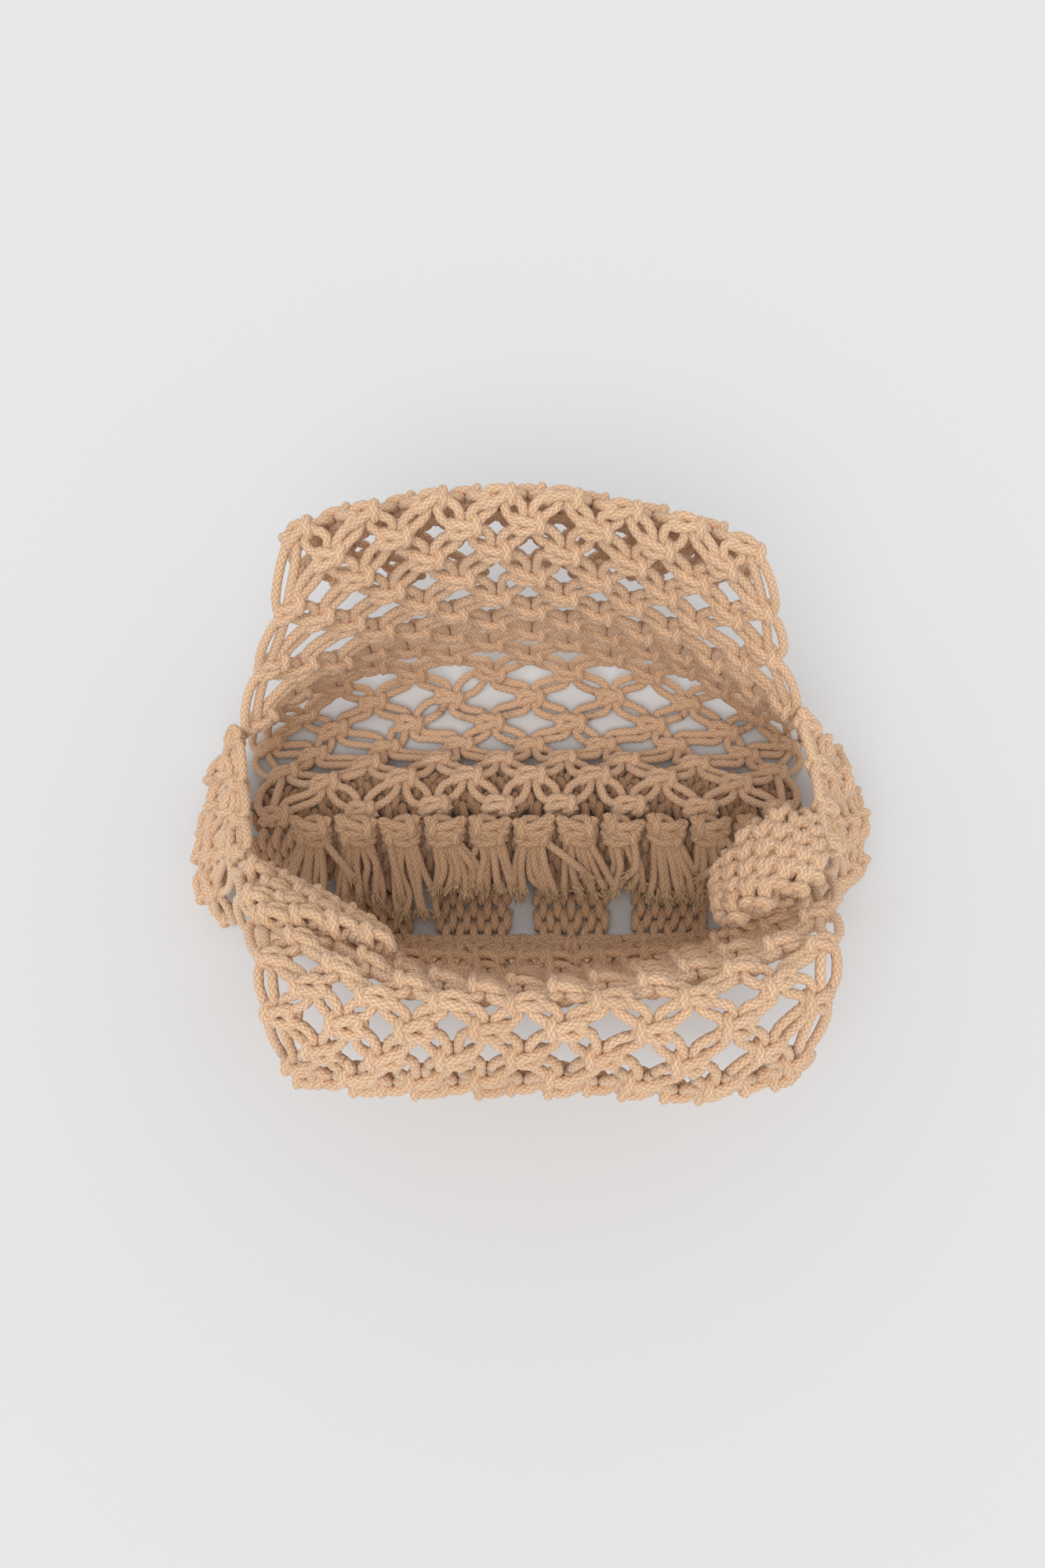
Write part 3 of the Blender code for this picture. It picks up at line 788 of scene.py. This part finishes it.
# ---------------------------------------------------------------- the folded block
st = Strands()
block_span = span_of(BLOCK)
for k in range(8):
    for m in range(4):
        u = -0.84 + m * 0.5 + (0.25 if k % 2 else 0)
        if u > 0.98:
            continue
        stamp(st, block, block_span, 1, u, 0.1 + k * 0.66, flip=-1, size=1.1, turn=0.35 + float(rng.normal(0, 0.15)), tone=0.1, tall=0.85)
# its free edge curls into a small pocket
for n in range(4):
    xs = np.linspace(-18 + n * 1.5, 16 - n * 2.0, 9)
    pts = np.stack([112 + xs, -76 - 3.5 * n - 3.0 * np.cos(xs / 12.0) + rng.normal(0, 0.6, 9), 160 - 5.0 * n + 0.012 * xs**2 + rng.normal(0, 0.8, 9)], -1)
    pts = smooth_path(pts)
    st.tube(pts[thin(pts, 0.3)], D / 2, tone=float(rng.normal(0, 0.3)))
done(st, "folded_block_knots", net_mat, "dense_knots", "folded_block")


# ---------------------------------------------------------------- fringe
def fray(strands, yarn, tip, direction):
    """The cut end of a cord: its braid opens into a brush of fine yarns."""
    direction = direction / np.linalg.norm(direction)
    for _ in range(22):
        d = direction + rng.normal(0, 0.34, 3)
        d /= np.linalg.norm(d)
        off = rng.normal(0, D * 0.2, 3)
        n = rng.uniform(3.8, 8.0)
        p0 = tip - direction * 2.0 + off
        pts = np.array([p0, p0 + d * n * 0.6, p0 + d * n + rng.normal(0, 0.6, 3)])
        pts[:, 2] = np.maximum(pts[:, 2], 0.7)
        yarn.tube(pts, np.array([0.72, 0.62, 0.38]), tone=float(rng.normal(0, 0.9)), caps=False)
    yarn.tube(np.array([tip - direction * 1.5, tip + direction * 0.8, tip + direction * 2.6]), np.array([1.9, 2.7, 2.9]), tone=-0.8)


TAIL_REACH = (0.66, 0.75, 0.95, 0.62, 0.6, 0.58, 0.62, 0.6, 0.66, 0.7, 0.64)  # how far down each tuft's ends come
STRAYS = (1, 0, 1, 0, 0, 1, 0, -1, 0, 1, -1)  # the way that one loose cord of a tuft falls across its neighbour
for index in range(TUFTS):
    st, yarn = Strands(), Strands(sides=3)
    x = (index - (TUFTS - 1) / 2) * TUFT_PITCH + TUFT_MIDDLE
    lean = TUFT_LEAN[index]
    tilt = rng.normal(0, 0.1)
    hand = 1 if rng.random() < 0.5 else -1

    def head(u, row, x=x, tilt=tilt):
        """A small plane that the head's knots lie on; it leans towards the mouth."""
        u, row = np.asarray(u, float), np.asarray(row, float)
        return np.stack([x + u * 10.0, -7.6 + row * 6.0 + u * 5.0 * tilt, 57.5 + row * 8.0 + u * 10.0 * tilt], -1)

    # the head: two square knots drawn tight, one below the other
    stamp(st, head, (-4.0, 4.0), 1, 0.0, 0.30, flip=hand, size=1.12, tall=0.8, turn=float(rng.normal(0, 0.12)), lift=0.6)
    stamp(st, head, (-4.0, 4.0), 1, 0.0, -0.42, flip=-hand, size=1.05, tall=0.75, turn=float(rng.normal(0, 0.12)), lift=0.0)
    count = int(rng.integers(6, 8))
    stray = int(rng.choice([0, count - 1])) if STRAYS[index] else -1
    bend = rng.normal(0, 1.8)
    for c in range(count):
        f = (c + 0.5) / count * 2 - 1
        spread = 6.5 * f + lean * 1.3 + rng.normal(0, 1.1)
        reach = TAIL_REACH[index] * rng.uniform(0.84, 1.12)
        lift = rng.uniform(0.0, 3.0) + (3.2 if c % 2 else 0.0)
        if c == stray:
            spread += STRAYS[index] * rng.uniform(11, 16)
            reach *= 0.72
            lift += 7.0
        ctrl = np.array([
            (x + 5.0 * f, -4.0, 56.0),
            (x + 6.4 * f, -10.0, 52.5 + lift * 0.3),
            (x + 7.6 * f + spread * 0.1 + bend * 0.3, -14.5, 48.0 + lift * 0.6),
            (x + 8.6 * f + spread * 0.42 + bend, -17.0 - 9.0 * reach, 46.0 - 12.0 * reach + lift),
            (x + 9.0 * f + spread * 0.75 + bend * 0.8, -18.0 - 18.0 * reach, 45.5 - 21.0 * reach + lift),
            (x + 9.2 * f + spread, -18.5 - 26.0 * reach, 45.5 - 28.0 * reach + lift * 0.8),
        ])
        ctrl[3:] += rng.normal(0, 0.8, (3, 3))
        pts = smooth_path(ctrl)
        st.tube(pts[thin(pts, 0.25, 5.0)], 2.15, tone=float(rng.normal(0, 0.4)), start=float(rng.random()))
        fray(st, yarn, pts[-1], pts[-1] - pts[-4])
    done(st, f"fringe_tuft_{index + 1:02d}_cords", fringe_mat, "fringe", f"fringe_tuft_{index + 1:02d}")
    b = yarn.make(f"fringe_tuft_{index + 1:02d}_yarn", yarn_mat)
    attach(b, "root")

# ---------------------------------------------------------------- stage, light and camera
stage_mat = bpy.data.materials.new("table")
stage_mat.use_nodes = True
sb = stage_mat.node_tree.nodes["Principled BSDF"]
sb.inputs["Base Color"].default_value = (0.70, 0.704, 0.712, 1)
sb.inputs["Roughness"].default_value = 0.9
sb.inputs["Specular IOR Level"].default_value = 0.1
bpy.ops.mesh.primitive_plane_add(size=8, location=(0, 0, 0))
table = bpy.context.object
table.name = "table_top"
table.data.materials.append(stage_mat)

world = bpy.data.worlds.new("studio")
bpy.context.scene.world = world
world.use_nodes = True
world.node_tree.nodes["Background"].inputs["Color"].default_value = (1, 1, 1, 1)
world.node_tree.nodes["Background"].inputs["Strength"].default_value = 0.75

sun = bpy.data.lights.new("key", "SUN")
sun.energy = 1.45
sun.angle = math.radians(40)
sun_ob = bpy.data.objects.new("key", sun)
sun_ob.rotation_euler = Vector((0.12, 0.55, -1.0)).to_track_quat("-Z", "Y").to_euler()
bpy.context.scene.collection.objects.link(sun_ob)

cam = bpy.data.cameras.new("camera")
cam.lens = 36.0
cam.sensor_width = 36.0
cam_ob = bpy.data.objects.new("camera", cam)
cam_ob.location = ((0 - CENTRE_X) * MM, (-280 - CENTRE_Y) * MM, 0.879)
cam_ob.rotation_euler = (math.radians(20), 0, 0)
bpy.context.scene.collection.objects.link(cam_ob)
bpy.context.scene.camera = cam_ob
bpy.context.scene.view_settings.view_transform = "Standard"
